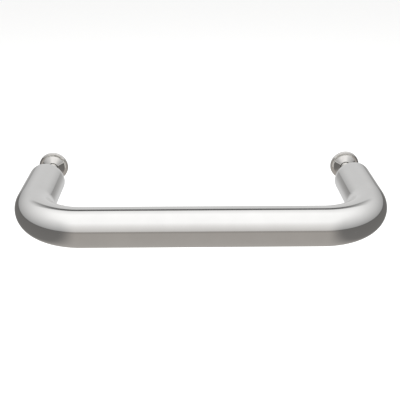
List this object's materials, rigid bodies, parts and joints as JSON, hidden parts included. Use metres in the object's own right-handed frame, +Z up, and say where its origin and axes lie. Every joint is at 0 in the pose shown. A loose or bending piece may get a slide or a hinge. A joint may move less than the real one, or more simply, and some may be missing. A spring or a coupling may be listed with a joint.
{
  "type": "pool handrail",
  "caption": "Polished stainless tube handle bent into a wide U, with studs, gaskets, coned backing washers and nuts that clamp both legs through a wall.",
  "frame": {"origin": "on the wall's front face, midway between the two legs, at the height of their axes", "axes": "+X along the handle bar from the left leg to the right leg, +Y from the user into the wall, +Z up"},
  "size_m": [0.415, 0.2118, 0.043],
  "materials": {
    "polished_steel": "mirror-polished stainless tube with very fine polishing lines along its length",
    "washer_steel": "turned and polished stainless steel",
    "stud_steel": "bright stainless steel with rolled threads",
    "spring_steel": "plain drawn spring stainless steel",
    "plain_steel": "satin machined stainless steel",
    "gasket_rubber": "smooth matt pale grey silicone rubber",
    "seal_rubber": "smooth satin rubber ring"
  },
  "bodies": {
    "rail": {"rail_tube": "polished_steel", "left_weld_nut": "plain_steel", "left_end_plate": "plain_steel", "left_stud_seal": "seal_rubber", "left_stud": "stud_steel", "left_wall_gasket": "gasket_rubber", "right_weld_nut": "plain_steel", "right_end_plate": "plain_steel", "right_stud_seal": "seal_rubber", "right_stud": "stud_steel", "right_wall_gasket": "gasket_rubber"},
    "left_washers": {"left_backing_washer": "washer_steel", "left_spring_washer": "spring_steel"},
    "left_nut": {"left_clamp_nut": "plain_steel"},
    "right_washers": {"right_backing_washer": "washer_steel", "right_spring_washer": "spring_steel"},
    "right_nut": {"right_clamp_nut": "plain_steel"}
  },
  "joints": [
    {"name": "left_washer_slide", "type": "slide", "parent": "rail", "child": "left_washers", "axis": [0, 1, 0], "range_m": [-0.009, 0.004]},
    {"name": "left_nut_spin", "type": "hinge", "parent": "left_washers", "child": "left_nut", "pos_m": [-0.186, 0.052, 0], "axis": [0, 1, 0], "range_deg": [-1860, 830]},
    {"name": "right_washer_slide", "type": "slide", "parent": "rail", "child": "right_washers", "axis": [0, 1, 0], "range_m": [-0.009, 0.004]},
    {"name": "right_nut_spin", "type": "hinge", "parent": "right_washers", "child": "right_nut", "pos_m": [0.186, 0.052, 0], "axis": [0, 1, 0], "range_deg": [-1860, 830]}
  ],
  "couplings": [
    {"joint": "left_nut_spin", "follows": "left_washer_slide", "rad_per_m": 3590.4},
    {"joint": "right_nut_spin", "follows": "right_washer_slide", "rad_per_m": 3590.4}
  ]
}
